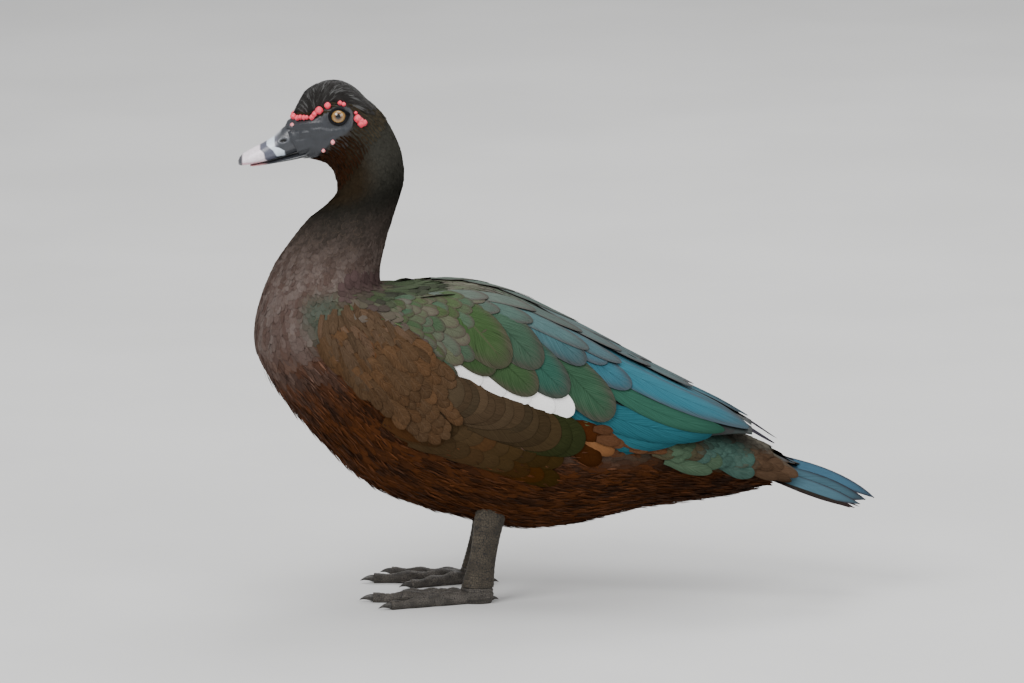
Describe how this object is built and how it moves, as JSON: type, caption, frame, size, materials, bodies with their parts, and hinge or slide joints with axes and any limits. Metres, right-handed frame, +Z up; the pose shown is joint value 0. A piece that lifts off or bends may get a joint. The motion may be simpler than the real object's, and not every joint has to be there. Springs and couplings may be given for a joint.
{
  "type": "muscovy duck",
  "caption": "Life-size still model of a standing muscovy duck with its head up, wings folded, small crest, red caruncles and webbed feet.",
  "frame": {"origin": "on the ground under the middle of the bird's box, between the feet and the tail", "axes": "+Z up, the bill points along -X and the tail along +X, the left side faces -Y"},
  "size_m": [0.6036, 0.2194, 0.496],
  "materials": {
    "head_plumage": "fine black-brown feathers with a faint gloss",
    "neck_plumage": "grey-brown feathers with fine pale bars",
    "body_plumage": "dark brown feathers with rusty tips",
    "wing_feathers": "glossy green to blue feathers with dark rims and a white patch",
    "tail_feathers": "glossy blue-green feathers",
    "bare_skin": "dark grey scaly skin",
    "bill_horn": "smooth horn, slate with pale pink bands",
    "eye": "wet, clear and glossy, amber iris with a black pupil",
    "claw_horn": "dark horn"
  },
  "bodies": {
    "root": {"head": "head_plumage", "crest": "head_plumage", "bill_upper": "bill_horn", "bill_lower": "bill_horn", "neck": "neck_plumage", "torso": "body_plumage", "tail": "tail_feathers", "eye_left": "eye", "eye_right": "eye", "wing_left": "wing_feathers", "wing_right": "wing_feathers", "leg_left": "bare_skin", "leg_right": "bare_skin", "foot_left": "bare_skin", "foot_right": "bare_skin", "claw_left_inner": "claw_horn", "claw_left_middle": "claw_horn", "claw_left_outer": "claw_horn", "claw_left_hind": "claw_horn", "claw_right_inner": "claw_horn", "claw_right_middle": "claw_horn", "claw_right_outer": "claw_horn", "claw_right_hind": "claw_horn"}
  },
  "joints": []
}
